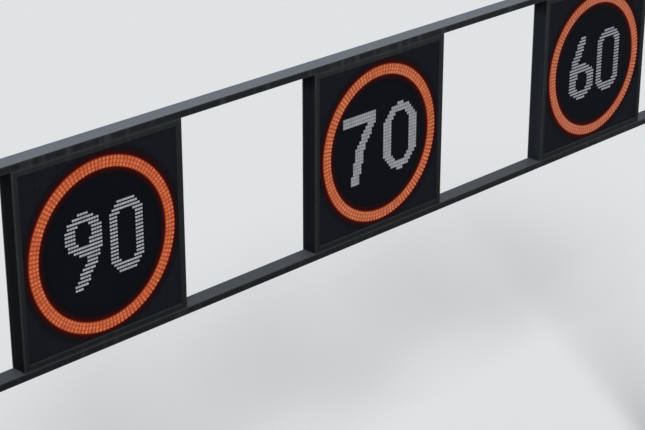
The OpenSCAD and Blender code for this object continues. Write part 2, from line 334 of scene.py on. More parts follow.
def painted_light_from_above(paint, coat, box):
    """The coat with painted light from above: paler at the top of the box and painted shade at its foot."""
    low, high = box
    height = paint.axes(paint.place())[2]
    foot = paint.mix(FOOT_SHADE_SHARE, coat, BLACK)
    return paint.mix(height.ramp(low.z, high.z), foot, paint.mix(TOP_LIGHT_SHARE, coat, PAINTED_TOP_LIGHT))


def painted_shade_under_rail(paint, coat, box):
    """The coat with painted shade, blacker close under the top of the box, where the top rail shades it."""
    top = box[1].z
    height = paint.axes(paint.place())[2]
    return paint.mix(height.ramp(top - SHADE_FROM, top - SHADE_FULL) * SHADE, coat, BLACK)


def painted_blue_light_tint(paint, dust, box):
    """The dust, tinted with painted blue light at the back of the box and paler painted light at its front.
    """
    low, high = box
    depth = paint.axes(paint.place())[1]
    return paint.mix(depth.ramp(high.y, low.y), tinted(dust, DUST_BLUE_LIGHT_AT_BACK), tinted(dust, DUST_PALE_LIGHT_AT_FRONT))


# %% Mix the paint
PALE_DUST_AND_TOP_LIGHT, PRIMER = (0.176, 0.190, 0.204), (0.09, 0.10, 0.105)
MOTTLE = 0.18
STREAKS_FROM, STREAKS_FULL = 0.52, 0.72
SPLASHED_UP_TO, SPLASH = 0.9, 0.5
DUST_AND_TOP_LIGHT_FROM, LEVEL = 0.45, 1.0
CHIPPED_REACH, CHIPPED_OVER, CHIPPED = 0.006, 0.56, 0.8
RUBBED_REACH, RUBBED = 0.02, 0.12


def weathered_paint(name, coat, rough, box=None, dust_and_light_share=1.0, shine=0.05, painted_light_and_shade=None, painted_dust_tint=None):
    """Paint with a pale film of dust and painted top light on upward faces, rain streaks, splashes at the
    foot and, if its box is given, worn edges. Its share of the pale film, dust and painted light
    together, runs from 0 to 1, and shine says how strongly the clean coat reflects."""
    paint = Finish(name, {"Specular IOR Level": shine, "Roughness": rough})
    height = paint.axes(paint.place())[2]
    up = paint.axes(paint.add("ShaderNodeTexCoord", output="Normal"))[2]
    clouds = paint.noise(1.7, 4)
    specks = paint.noise(38, 3)
    runs = paint.noise(1, 3, (14, 14, 0.5))

    tone = paint.mix(clouds, scaled(coat, 1 - MOTTLE), scaled(coat, 1 + MOTTLE))
    # The coat's painted light and shade along the piece, where it has one.
    if painted_light_and_shade:
        tone = painted_light_and_shade(paint, tone, box)
    # Along a rail the film takes a painted tint of light, bluer at the back.
    film = painted_dust_tint(paint, PALE_DUST_AND_TOP_LIGHT, box) if painted_dust_tint else PALE_DUST_AND_TOP_LIGHT
    streaks = runs.ramp(STREAKS_FROM, STREAKS_FULL) * (0.01 + 0.07 * dust_and_light_share)
    splash = height.ramp(SPLASHED_UP_TO, 0) * specks * SPLASH
    # The pale film on upward faces is real dust and also a painted highlight of the light on the tops.
    dust = up.ramp(DUST_AND_TOP_LIGHT_FROM, LEVEL) * (0.66 + 0.36 * specks) * dust_and_light_share
    dirty = paint.mix(streaks.at_least(splash), tone, film)
    colour = paint.mix(dust, dirty, film)
    if box:
        chipping = edge_share(paint, box, CHIPPED_REACH) * 1.5 * paint.noise(24, 4)
        chipped = (chipping > CHIPPED_OVER) * CHIPPED
        rubbed = edge_share(paint, box, RUBBED_REACH) * RUBBED
        colour = paint.mix(chipped.at_least(rubbed), colour, PRIMER)
    paint.feed("Base Color", colour)
    paint.feed("Roughness", (rough + 0.1 * clouds + 0.34 * dust + 0.4 * splash).at_most(0.95))
    paint.bump(paint.noise(260, 2) * 0.6 + specks * 0.4, 0.0004)
    return paint.material


# %% [markdown]
# Which paint goes where
# Rails, columns and base plates are plain boxes, so each gets its own copy of the paint that knows
# its edges. The bottom rail gets a darker coat and less of the pale film, as painted shade of the
# signs and the top rail above it. The gussets, joint plates and caps share one paint that knows no
# edges.

# %% Paint the steelwork
ANTHRACITE, SHADED_ANTHRACITE = (0.0085, 0.01, 0.0125), (0.0058, 0.0068, 0.0085)
OPEN_DUST, SHADED_DUST = 1.0, 0.37
STEEL_ROUGH, FITTING_ROUGH = 0.38, 0.40
edged = ["left_column", "right_column", "left_base_plate", "right_base_plate", "bottom_rail", "top_rail"]
plain = ["left_column_cap", "right_column_cap", "left_base_gussets", "right_base_gussets",
         "left_rail_end_plates", "right_rail_end_plates",
         "left_column_joint_plates", "right_column_joint_plates"]


def coat_node(node, material):
    """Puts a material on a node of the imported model."""
    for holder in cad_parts[node].material_slots:
        holder.material = material


for node in edged:
    # The bottom rail's darker coat and thinner pale film are painted shade from the signs and top rail above
    # it.
    coat, dust_and_light_share = (SHADED_ANTHRACITE, SHADED_DUST) if node == "bottom_rail" else (ANTHRACITE, OPEN_DUST)
    painted_dust_tint = painted_blue_light_tint if "rail" in node else None
    paint = weathered_paint(f"{node}_paint", coat, STEEL_ROUGH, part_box(node), dust_and_light_share, painted_dust_tint=painted_dust_tint)
    coat_node(node, paint)
shared_paint = weathered_paint("fitting_paint", ANTHRACITE, FITTING_ROUGH)
for node in plain:
    coat_node(node, shared_paint)
print(len(edged) + len(plain), "steel nodes painted")

# %% [markdown]
# A sign's box, bezel and rear cover make one box together, and share the edges of that box. It ends
# at the rim of the cover, whose ribs and louvres stand out behind it. Little dust stays on the
# front. The walls of the box are the least shiny, and painted the darkest as painted shade. The
# light on them looks different from sign to sign on the photograph, so each sign's walls have their
# own painted light level. The covers at the back are a paler grey, and dustier. Each part has its
# coat, its share of the pale film, its shine and its painted light or shade along the box.

# %% Paint the sign boxes
SIGN_BLACK, COVER_GREY = (0.0083, 0.0098, 0.0112), (0.024, 0.027, 0.030)
# The walls' extra black is painted shade, and their level per sign is painted light.
WALL_PAINTED_SHADE_BLACK, WALL_PAINTED_LIGHT_LEVEL = (0.0051, 0.0063, 0.0079), {"90": 0.5, "70": 1.1, "60": 2.3}
COVER_RIM = 0.012
SIGN_ROUGH = 0.5
FRONT_DUST, REAR_DUST = 0.15, 0.9
WALL_SHINE, SIGN_SHINE = 0.015, 0.05

for number in SIGNS:
    front_low, front_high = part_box(f"sign_{number}_bezel")
    rim_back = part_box(f"sign_{number}_rear_cover")[0].y + COVER_RIM
    whole = (front_low, Vector((front_high.x, rim_back, front_high.z)))
    finishes = {
        "box": (scaled(WALL_PAINTED_SHADE_BLACK, WALL_PAINTED_LIGHT_LEVEL[number]), FRONT_DUST, WALL_SHINE, painted_shade_under_rail),
        "bezel": (SIGN_BLACK, FRONT_DUST, SIGN_SHINE, painted_light_from_above),
        "rear_cover": (COVER_GREY, REAR_DUST, SIGN_SHINE, painted_light_from_above),
    }
    for part, (coat, *looks) in finishes.items():
        paint = weathered_paint(f"sign_{number}_{part}_paint", coat, SIGN_ROUGH, whole, *looks)
        coat_node(f"sign_{number}_{part}", paint)
print(len(SIGNS) * len(finishes), "parts of sign boxes painted")

# %% [markdown]
# The display panel
# Behind its lamps a display is matt black, in square modules with hairline joints, and darkest
# inside the ring, where rows of pockets hold the lamps that are off. The ring lamps stand so close
# that their light fills the gaps between them and fades out over a finger's breadth on both sides.
# Real light could do that, but thousands of tiny lamps take very many samples. So the panel itself
# glows there: the colour depends only on the distance from the ring's middle circle. That circle is
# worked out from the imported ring, because the outer lamps end 3 mm inside that ring's edge.

# %% Measure the rings on the model
LAMP_ACROSS, LAMP_ROUND = 0.031, 0.0275
CIRCLE_STEP = 0.033
LIGHT_INSET = 0.003
ring_low, ring_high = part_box("sign_70_led_ring")
ring_outer = (ring_high.x - ring_low.x) / 2
middle_circle = ring_outer - LIGHT_INSET - LAMP_ACROSS / 2 - CIRCLE_STEP
print(f"ring is {2 * ring_outer:.3f} m across, its middle circle has a radius of {middle_circle:.4f} m")

# %% Make the glow of a ring
GLOW_REACH = 0.11
GLOW = [
    (0.0, (0.38, 0.066, 0.020)), (0.39, (0.30, 0.045, 0.012)), (0.45, (0.09, 0.007, 0.003)),
    (0.54, (0.034, 0.0015, 0.0006)), (0.64, (0.020, 0.0006, 0.0003)), (0.77, (0.011, 0.0002, 0.0001)),
    (0.9, (0.004, 0, 0)), (1.0, (0, 0, 0)),
]


def ring_radius(finish, number):
    """How far a point is from the middle of a ring."""
    return finish.add("ShaderNodeVectorMath", {"operation": "DISTANCE"},
                      {0: finish.place(), 1: ring_middle[number]}, "Value")


def glow_by_ring(finish, number):
    """Lets a surface glow, and returns its distance from the ring's middle circle, 1 at the glow's end."""
    from_ring = abs(ring_radius(finish, number) - middle_circle) / GLOW_REACH
    finish.feed("Emission Color", finish.add("ShaderNodeValToRGB", {"stops": GLOW}, {"Fac": from_ring}))
    finish.material.cycles.emission_sampling = "NONE"
    return from_ring


# %% [markdown]
# The pockets lie on the same grid as the digits' lamps. Round the ring the panel's own colour is
# nearly gone, so that nothing but the glow shows there.

# %% Make the panel's finish
MODULE, JOINT_W = 0.2117, 0.002
COLUMN_STEP, ROW_STEP = 0.0266, 0.032
POCKET_R = 0.0105
POCKETS_FROM, POCKETS_FULL = 0.06, 0.08
RING_BLACK, BLACK_FALL = 1.8, 1.4
OUTER_BLACKS = (0.0055, 0.0062, 0.0092), (0.0085, 0.0095, 0.0135)
INNER_BLACKS = (0.0026, 0.0031, 0.0052), (0.0041, 0.0050, 0.0082)
DEEP_BLACK = (0.001, 0.001, 0.001)


def from_nearest(part, step):
    """How far a place is from the nearest whole step."""
    return ((part / step + 0.5).fraction() - 0.5) * step


def on_joint(part):
    """1 where a place along an axis lies on a joint between two modules."""
    return abs((part / MODULE).fraction() - 0.5) > 0.5 - JOINT_W / 2 / MODULE


def display_black(number):
    """Matt black panel of modules and pockets, lit by the ring on it."""
    panel = Finish(f"display_{number}", {"Specular IOR Level": 0.02, "Emission Strength": 1})
    offset = panel.add("ShaderNodeVectorMath", {"operation": "SUBTRACT"},
                       {0: panel.place(), 1: face_middle[number]})
    across, _, upwards = panel.axes(offset)
    radius = ring_radius(panel, number)
    from_ring = glow_by_ring(panel, number)

    joint = on_joint(across).at_least(on_joint(upwards))
    inside = radius.ramp(middle_circle - POCKETS_FROM, middle_circle - POCKETS_FULL)
    x, z = from_nearest(across, COLUMN_STEP), from_nearest(upwards, ROW_STEP)
    pocket = (POCKET_R ** 2 > x * x + z * z) * inside
    haze = panel.noise(3, 4)
    face = panel.mix(inside, panel.mix(haze, *OUTER_BLACKS), panel.mix(haze, *INNER_BLACKS))
    by_ring = (RING_BLACK - from_ring * BLACK_FALL).from_0_to_1()
    dark = joint.at_least(pocket * 0.4).at_least(by_ring)
    panel.feed("Base Color", panel.mix(dark, face, DEEP_BLACK))
    panel.feed("Roughness", 0.55 + 0.2 * haze - 0.2 * pocket)
    panel.bump((1 - joint) * (1 - pocket * 0.6) * 0.7 + panel.noise(420, 2) * 0.3, 0.0008)
    return panel.material


for number in SIGNS:
    coat_node(f"sign_{number}_display_panel", display_black(number))
print("modules of", MODULE, "m")

# %% [markdown]
# One lamp
# A lamp is a black collar with a lens that bulges out of it, and both are square with round corners,
# so that a row of lamps reads as an even stroke. There are about two thousand, so one lamp gets only
# a few dozen faces: a flat cube, whose upright edges are bevelled and whose top is inset three times,
# first down for the collar's lip and then up twice for the lens. A number on each vertex says how
# near the middle of the lens it is, and travels along when the lamp is copied. The lens finish reads
# it to make the middle hot and the rim deep. Faces belong to the collar unless they are given the
# lens's material slot. All steps are shares of the lamp's size, so that one function makes every
# lamp: a step of the lens has its inset, its rise and how near the middle it comes. Edges and parts
# are gathered in dictionaries, which keep their order as sets don't.

# %% Model a lamp
LENS_SLOT = 1
CORNER = 0.4
COLLAR_RISE = 0.42
LIP_INSET, LIP_DROP = 0.05, 0.08
LENS_STEPS = ((0.26, 0.42, 0.6), (0.30, 0.24, 1.0))


def add_lamp(form, width, length, height):
    """Adds one lamp that stands on the origin and points up, and returns its faces."""
    near_middle = form.verts.layers.float.get("near_middle") or form.verts.layers.float.new("near_middle")
    others = set(form.faces)
    small = min(width, length) / 2
    collar_h = height * COLLAR_RISE
    size = Matrix.Diagonal((width, length, collar_h, 1))
    cube = bmesh.ops.create_cube(form, size=1, matrix=Matrix.Translation((0, 0, collar_h / 2)) @ size)
    edges = dict.fromkeys(edge for vert in cube["verts"] for edge in vert.link_edges)
    uprights = [edge for edge in edges if edge.verts[0].co.z != edge.verts[1].co.z]
    bmesh.ops.bevel(form, geom=uprights, offset=small * CORNER, affect="EDGES", segments=2, profile=0.5,
                    material=-1)
    faces = [face for face in form.faces if face not in others]
    top = max(faces, key=lambda face: face.calc_center_median().z)
    lip = bmesh.ops.inset_individual(form, faces=[top], thickness=small * LIP_INSET, depth=-height * LIP_DROP)
    faces += lip["faces"]
    for inset, rise, warmth in LENS_STEPS:
        slope = bmesh.ops.inset_individual(form, faces=[top], thickness=small * inset, depth=height * rise)
        faces += slope["faces"]
        for face in (*slope["faces"], top):
            face.material_index = LENS_SLOT
            face.smooth = True
        for vert in top.verts:
            vert[near_middle] = warmth
    return faces


def parts_of(faces):
    """The faces with their edges and vertices, as duplicate and spin want them."""
    return list(dict.fromkeys(part for face in faces for part in (*face.verts, *face.edges, face)))


def verts_of(parts):
    return [part for part in parts if isinstance(part, bmesh.types.BMVert)]


RING_LAMP_H = 0.009
trial = bmesh.new()
add_lamp(trial, LAMP_ROUND, LAMP_ACROSS, RING_LAMP_H)
print("a lamp has", len(trial.faces), "faces and is", round(max(v.co.z for v in trial.verts), 4), "m high")
trial.free()

# %% [markdown]
# Lens finishes
# Each lens glows in its own colour, whose brightness falls from the middle to the rim. What is
# written is what the picture shows, because the emission's strength stays at 1. A little noise
# over the sign makes neighbouring lamps differ slightly, as a real batch does. The amber lenses
# redden towards the edges of their ring, where no neighbour adds its light, and the collars
# between them glow as the panel does. The white lamps spill a little light on their collars.

# %% Make the finishes of a lamp
AMBER_EDGE = (0.24, 0.028, 0.008)
REDDENS_FROM, REDDENS_TO, REDDENED = 0.037, 0.048, 0.8
DIM_SHARE, DIM_SWING, DIMMEST = 0.25, 1.4, 0.68
UNLIT = 0.1


def lit_lens(name, hot, deep, ring=None):
    """A lit lens, with a hot middle and a deep rim."""
    lens = Finish(name, {"Base Color": (*scaled(deep, UNLIT), 1), "Roughness": 0.25,
                         "Specular IOR Level": 0.15, "Emission Strength": 1})
    near_middle = lens.add("ShaderNodeAttribute", {"attribute_name": "near_middle"}, output="Fac")
    dim = ((lens.noise(21, 1) - 0.5) * DIM_SWING + DIM_SHARE).from_0_to_1()
    glow = lens.mix(dim, lens.mix(near_middle, deep, hot), scaled(deep, DIMMEST))
    if ring:
        edge = abs(ring_radius(lens, ring) - middle_circle).ramp(REDDENS_FROM, REDDENS_TO)
        glow = lens.mix(edge * REDDENED, glow, AMBER_EDGE)
    lens.feed("Emission Color", glow)
    lens.material.cycles.emission_sampling = "NONE"
    return lens.material


def lamp_collar(name, spill, ring=None):
    """Black plastic round a lens, which shows spilt light and glows between the lamps of a ring."""
    collar = Finish(name, {"Base Color": (0.006, 0.006, 0.0065, 1), "Specular IOR Level": 0.1,
                           "Emission Color": (spill, spill, spill * 1.05, 1), "Emission Strength": 1})
    collar.feed("Roughness", 0.42 + 0.25 * collar.noise(60, 2))
    collar.material.cycles.emission_sampling = "NONE"
    if ring:
        glow_by_ring(collar, ring)
    return collar.material


# %% [markdown]
# The three signs don't look alike on the photograph. The ring of the 90 has the hottest lamps with
# the deepest rims, and that of the 60 is the least red and the most even. So all three share one
# mean amber and one swing from it, up to the hot colour and down to the deep one, and each sign has
# its own contrast and tint. The digits share one white, at a level for each sign. Those of the 70
# look the brightest even so, because their lamps are the largest and spill the most light.

# %% Make the finishes of each sign
AMBER_MEAN, AMBER_SWING = (0.567, 0.145, 0.060), (0.245, 0.138, 0.088)
HOT, DEEP = 0.4, -0.6
AMBER_CONTRAST = {"90": 1.0, "70": 0.9, "60": 0.4}
AMBER_TINT = {"90": (0.96, 0.87, 0.85), "70": (0.88, 1.03, 1.14), "60": (0.77, 1.00, 1.33)}
WHITE_HOT, WHITE_DEEP = (0.35, 0.36, 0.385), (0.25, 0.26, 0.285)
WHITE_LEVEL = {"90": 1.06, "70": 0.84, "60": 0.86}
WHITE_SPILL = {"90": 0.01, "70": 0.08, "60": 0.03}


def amber(number, share):
    """The amber of a sign at a share of its swing."""
    swing = scaled(AMBER_SWING, share * AMBER_CONTRAST[number])
    return tinted([mean + change for mean, change in zip(AMBER_MEAN, swing)], AMBER_TINT[number])


amber_finishes, white_finishes = {}, {}
for number in SIGNS:
    amber_finishes[number] = [
        lamp_collar(f"amber_collar_{number}", 0, number),
        lit_lens(f"amber_lens_{number}", amber(number, HOT), amber(number, DEEP), number),
    ]
    level = WHITE_LEVEL[number]
    white_finishes[number] = [
        lamp_collar(f"white_collar_{number}", WHITE_SPILL[number]),
        lit_lens(f"white_lens_{number}", scaled(WHITE_HOT, level), scaled(WHITE_DEEP, level)),
    ]
print(len(amber_finishes) + len(white_finishes), "pairs of a collar and a lens finish")

# %% [markdown]
# From mesh code to a piece
# Every new piece is made with bmesh operators straight in its place, so that its object stays at the
# origin. This helper turns the finished mesh into an object that rides on the portal.

# %% Finish a piece
def make_piece(name, form, materials):
    mesh = bpy.data.meshes.new(name)
    form.to_mesh(mesh)
    form.free()
    for material in materials:
        mesh.materials.append(material)
    piece = bpy.data.objects.new(name, mesh)
    bpy.context.scene.collection.objects.link(piece)
    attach(piece, "root")
    return piece


def box_gap(piece, node):
    """How far the piece's box is from the node's, in millimetres."""
    low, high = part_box(node)
    corners = [piece.matrix_world @ Vector(corner) for corner in piece.bound_box]
    own_low = Vector([min(corner[axis] for corner in corners) for axis in range(3)])
    own_high = Vector([max(corner[axis] for corner in corners) for axis in range(3)])
    return [round(1000 * gap, 1) for gap in (*(own_low - low), *(own_high - high))]


# %% [markdown]
# The rings
# Each ring is three circles of 120 lamps. One lamp is set up at the top of its circle, and the
# spin operator with duplicates turns it round the ring's middle in 119 steps.

# %% Spin the ring lamps
LAMPS_ROUND = 120
upright = Matrix.Rotation(math.radians(90), 4, "X")

for number in SIGNS:
    node = f"sign_{number}_led_ring"
    form = bmesh.new()
    for circle in (1, 0, -1):
        radius = middle_circle + circle * CIRCLE_STEP
        lamp = parts_of(add_lamp(form, LAMP_ROUND, LAMP_ACROSS, RING_LAMP_H))
        verts = verts_of(lamp)
        bmesh.ops.transform(form, matrix=upright, verts=verts)
        bmesh.ops.translate(form, verts=verts, vec=ring_middle[number] + Vector((0, 0, radius)))
        bmesh.ops.spin(form, geom=lamp, cent=ring_middle[number], axis=(0, 1, 0), dvec=(0, 0, 0),
                       angle=math.tau * (LAMPS_ROUND - 1) / LAMPS_ROUND, steps=LAMPS_ROUND - 1,
                       use_duplicate=True)
    ring = make_piece(f"sign_{number}_ring_lamps", form, amber_finishes[number])
    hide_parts(node)
    print(ring.name, len(ring.data.polygons), "faces, box off by", box_gap(ring, node), "mm")

# %% [markdown]
# The digits
# A digit is drawn on a grid of lamps, 26.6 mm apart across and 32 mm down. Listing which lamps are
# on would be a picture in numbers. A rule is shorter and can be changed: a lamp is on where its
# middle lies on a stroke, and a stroke is a loop with cut or round corners, or a slanting bar.
# Places are counted in lamps from the middle of the digit.

# %% Rules for strokes
BAR_ROWS, BOWL_ROWS, SLANT_EXTRA = 3, 12, 0.3
SMALLEST_CORNER = 1.5


def in_box(x, z, width, height, corner_x, corner_z, curve):
    """In a box whose corners are cut: straight for a curve of 1, round for a curve of 2."""
    over_x = abs(x) - (width / 2 - corner_x)
    over_z = abs(z) - (height / 2 - corner_z)
    if abs(x) > width / 2 or abs(z) > height / 2:
        return False
    return over_x <= 0 or over_z <= 0 or (over_x / corner_x) ** curve + (over_z / corner_z) ** curve <= 1


def on_loop(x, z, width, height, stroke, corner_x, corner_z, curve):
    """On the closed stroke just inside such a box, which by itself is a zero."""
    hole = in_box(x, z, width - 2 * stroke, height - 2 * BAR_ROWS,
                  max(corner_x - stroke, SMALLEST_CORNER), max(corner_z - BAR_ROWS, SMALLEST_CORNER), curve)
    return in_box(x, z, width, height, corner_x, corner_z, curve) and not hole


def on_slant(x, z, top, foot, half):
    """On a bar that slants from its top down to its foot."""
    middle = top[0] + (foot[0] - top[0]) * (z - top[1]) / (foot[1] - top[1])
    return foot[1] <= z <= top[1] and abs(x - middle) <= half


# %% [markdown]
# The nine and the six are one shape, turned half round. The nine's tail bends at a knee under its
# bowl and is narrower in its last row, and the seven's leg bends at half height. The wide zero of
# the 70 has a rounder hole than a plain loop and only three lamps in its end rows, because its
# outline is a touch lower than its rows.

# %% Rules for digits
TIP_CUT = 0.4
KNEE_IN, TIP_IN = 0.9, 0.8
LEG_KNEE, LEG_FOOT = (0.5, 0), -2.3


def on_wide_zero(x, z, columns, rows, stroke, corner_x, corner_z, curve):
    hole = in_box(x, z, columns - 2 * stroke, rows - 2 * BAR_ROWS, corner_x - stroke, corner_z - BAR_ROWS, 2)
    return in_box(x, z, columns, rows - TIP_CUT, corner_x, corner_z, curve) and not hole


def on_nine(x, z, columns, rows, stroke, corner_x, corner_z, curve, foot_in):
    bowl, side, half = (rows - BOWL_ROWS) / 2, (columns - stroke) / 2, stroke / 2 + SLANT_EXTRA
    knee, foot = (side - KNEE_IN, bowl - BOWL_ROWS / 2), (side - foot_in, -rows / 2)
    tail = half - TIP_IN if z < foot[1] + 1 else half
    return (on_loop(x, z - bowl, columns, BOWL_ROWS, stroke, corner_x, corner_z, curve)
            or on_slant(x, z, (side, bowl), knee, half) or on_slant(x, z, knee, foot, tail))


def on_six(x, z, *shape):
    return on_nine(-x, -z, *shape)


def on_seven(x, z, columns, rows, stroke):
    bar, half = rows / 2 - BAR_ROWS, stroke / 2 + SLANT_EXTRA
    return (z > bar or on_slant(x, z, ((columns - stroke) / 2, bar), LEG_KNEE, half)
            or on_slant(x, z, LEG_KNEE, (LEG_FOOT, -rows / 2), half))


# %% [markdown]
# Each digit has its rule, its columns and rows of lamps, the columns in an upright stroke, the size
# and curve of its corners, and how many columns its middle is to the right of the sign's middle. The
# nine and the six also say how far in their tail ends. The two digits of a sign differ a little in
# width and weight, as they do on the photograph. So do the lamps of the signs, in width and height:
# those of the 70 nearly touch, and the others leave a gap between rows.

# %% Set the digit lamps
DIGITS = {
    "sign_90_digit_nine": (on_nine, (14, 21, 4, 7, 4.9, 1.6, 7.6), -7.5),
    "sign_90_digit_zero": (on_loop, (13, 20, 3, 4, 3.6, 1.2), 9),
    "sign_70_digit_seven": (on_seven, (16, 21, 3.6), -10.5),
    "sign_70_digit_zero": (on_wide_zero, (17, 21, 4, 8.5, 6, 1.6), 10),
    "sign_60_digit_six": (on_six, (15, 21, 4, 7.5, 4.5, 1.6, 6), -8),
    "sign_60_digit_zero": (on_loop, (14, 21, 3, 4.5, 3.8, 1.2), 8.5),
}
TOP_ROW = 10
DIGIT_LAMP = {"90": (0.0256, 0.0200), "70": (0.0263, 0.0302), "60": (0.0263, 0.0214)}
DIGIT_LAMP_H = 0.008

for node, (rule, shape, shift) in DIGITS.items():
    columns, rows = shape[:2]
    number = node.split("_")[1]
    form = bmesh.new()
    pattern = parts_of(add_lamp(form, *DIGIT_LAMP[number], DIGIT_LAMP_H))
    bmesh.ops.transform(form, matrix=Matrix.Translation(face_middle[number]) @ upright, verts=form.verts)
    lit = 0
    for row in range(rows):
        for column in range(columns):
            if rule(column + 0.5 - columns / 2, rows / 2 - row - 0.5, *shape):
                lamp = bmesh.ops.duplicate(form, geom=pattern)["geom"]
                across = (shift - (columns - 1) / 2 + column) * COLUMN_STEP
                bmesh.ops.translate(form, verts=verts_of(lamp), vec=(across, 0, (TOP_ROW - row) * ROW_STEP))
                lit += 1
    bmesh.ops.delete(form, geom=verts_of(pattern), context="VERTS")
    digit = make_piece(node + "_lamps", form, white_finishes[number])
    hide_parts(node)
    print(digit.name, lit, "lamps, box off by", box_gap(digit, node), "mm")

# %% [markdown]
# Bolts and anchors
# A plate on each rail end is bolted to a plate on the column with four large bolts, whose heads look
# back along the rail. Six anchors come up through each base plate, and a nut on each holds it down.
# A hexagon is a six-sided cone with its top inset and raised a little, which leaves the sloping rim
# of a real one. On the anchor's free end the top is inset in and out again for every turn of the
# thread. Each step is an inset and a rise.

# %% Model a bolt
WASHER_R, WASHER_T = 0.022, 0.004
HEAD_R, HEAD_TOP, HEAD_STEPS = 0.0208, 0.017, ((0.0024, 0.002), (0.005, -0.0008))
SHANK_R, SHANK_LENGTH = 0.0103, 0.045


def add_round(form, segments, radius, bottom, top):
    """An upright prism. Returns its vertices."""
    matrix = Matrix.Translation((0, 0, (bottom + top) / 2))
    return bmesh.ops.create_cone(form, cap_ends=True, segments=segments, radius1=radius, radius2=radius,
                                 depth=top - bottom, matrix=matrix)["verts"]


def step_top(form, verts, *steps):
    """Insets the top face of a piece once for each step. Returns all vertices of the piece."""
    faces = {face for vert in verts for face in vert.link_faces}
    top = max(faces, key=lambda face: face.calc_center_median().z)
    new = set(verts)
    for thickness, depth in steps:
        ring = bmesh.ops.inset_individual(form, faces=[top], thickness=thickness, depth=depth)["faces"]
        new |= {vert for face in ring for vert in face.verts}
    return list(new)


def add_bolt(form):
    """A washer and a hexagon head that stand on the origin, with the shank below. Returns the vertices."""
    washer = add_round(form, 24, WASHER_R, 0, WASHER_T)
    head = step_top(form, add_round(form, 6, HEAD_R, WASHER_T, HEAD_TOP), *HEAD_STEPS)
    shank = add_round(form, 16, SHANK_R, -SHANK_LENGTH, 0)
    return washer + head + shank


# %% Model an anchor
BIG_WASHER_R, BIG_WASHER_T = 0.033, 0.005
NUT_R, NUT_TOP, NUT_STEP = 0.0317, 0.032, (0.0036, 0.0022)
ANCHOR_R, ANCHOR_TOP, ANCHOR_POINT = 0.018, 0.036, (0.004, 0.002)
ABOVE_UNDERSIDE = 0.001
THREAD_DEPTH, HALF_TURN, THREAD_TURNS = 0.0016, 0.002, 5


def add_anchor(form, plate_t):
    """A washer and a nut that stand on the origin, round an anchor that comes up through a plate."""
    washer = add_round(form, 32, BIG_WASHER_R, 0, BIG_WASHER_T)
    nut = step_top(form, add_round(form, 6, NUT_R, BIG_WASHER_T, NUT_TOP), NUT_STEP)
    anchor = add_round(form, 24, ANCHOR_R, ABOVE_UNDERSIDE - plate_t, ANCHOR_TOP)
    thread = [(THREAD_DEPTH, HALF_TURN), (-THREAD_DEPTH, HALF_TURN)] * THREAD_TURNS
    return washer + nut + step_top(form, anchor, *thread, ANCHOR_POINT)


# %% [markdown]
# Bolts, anchors and screws are dipped in molten zinc against rust. It sets in small crystals,
# which differ in how they reflect, and later it stains in places.

# %% Galvanised finish
ZINC_DARK, ZINC_PALE, STAIN = (0.30, 0.315, 0.325), (0.46, 0.475, 0.49), (0.17, 0.15, 0.13)

zinc = Finish("hot_dip_zinc", {"Metallic": 0.85, "Specular IOR Level": 0.5})
spangle = zinc.add("ShaderNodeTexVoronoi", {}, {"Vector": zinc.place(), "Scale": 160})
stained = zinc.noise(45, 4).ramp(0.5, 0.75) * 0.4
zinc.feed("Base Color", zinc.mix(stained, zinc.mix(spangle, ZINC_DARK, ZINC_PALE), STAIN))
zinc.feed("Roughness", 0.42 + 0.25 * stained + 0.1 * spangle)
zinc.bump(zinc.noise(500, 2), 0.0002)
print("zinc finish has", len(zinc.tree.nodes), "shader nodes")

# %% Bolt the joints
EDGE_TO_HOLE = 0.032
PLATE_PAST_RAIL = 0.06


def plate_heights(rail):
    """The lowest and highest Z of the joint plates on a rail."""
    low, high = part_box(rail)
    return low.z - PLATE_PAST_RAIL, high.z + PLATE_PAST_RAIL


form = bmesh.new()
for side in ("left", "right"):
    low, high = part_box(f"{side}_rail_end_plates")
    face_x, inwards = (high.x, 1) if side == "left" else (low.x, -1)
    aim = Matrix.Rotation(math.radians(90 * inwards), 4, "Y")
    for rail in ("bottom_rail", "top_rail"):
        plate_low, plate_high = plate_heights(rail)
        for depth in (low.y + EDGE_TO_HOLE, high.y - EDGE_TO_HOLE):
            for height in (plate_low + EDGE_TO_HOLE, plate_high - EDGE_TO_HOLE):
                spot = Matrix.Translation((face_x, depth, height))
                bmesh.ops.transform(form, matrix=spot @ aim, verts=add_bolt(form))
bolts = make_piece("rail_joint_bolts", form, [zinc.material])
print(bolts.name, len(bolts.data.polygons), "faces")

# %% Anchor the feet
EDGE_TO_ANCHOR = 0.060
form = bmesh.new()
for side in ("left", "right"):
    low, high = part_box(f"{side}_base_plate")
    for x in (low.x + EDGE_TO_ANCHOR, high.x - EDGE_TO_ANCHOR):
        for y in (low.y + EDGE_TO_ANCHOR, (low.y + high.y) / 2, high.y - EDGE_TO_ANCHOR):
            verts = add_anchor(form, high.z - low.z)
            bmesh.ops.translate(form, verts=verts, vec=(x, y, high.z))
anchors = make_piece("foot_anchors", form, [zinc.material])
lowest = min(v.co.z for v in anchors.data.vertices)
print(anchors.name, len(anchors.data.polygons), "faces, lowest point", round(lowest, 3))

# %% [markdown]
# Screws of the rear covers
# A service cover is held by a row of small socket screws round its edge. The head is a low cone. Its
# top is inset and raised for a soft rim, and then inset and pushed in for the socket.

# %% Model and set the screws
SCREW_R, SCREW_TOP_R, SCREW_H = 0.0075, 0.0062, 0.004
SOCKET_STEPS = ((0.0012, 0.0008), (0.0018, 0), (0.0001, -0.0025))
SCREW_TO_EDGE = 0.015
SCREWS_A_SIDE = 8


def add_screw(form):
    """A socket screw that stands on the origin and points up. Returns its vertices."""
    head = bmesh.ops.create_cone(form, cap_ends=True, segments=12, radius1=SCREW_R, radius2=SCREW_TOP_R,
                                 depth=SCREW_H)["verts"]
    bmesh.ops.translate(form, verts=head, vec=(0, 0, SCREW_H / 2))
    return step_top(form, head, *SOCKET_STEPS)


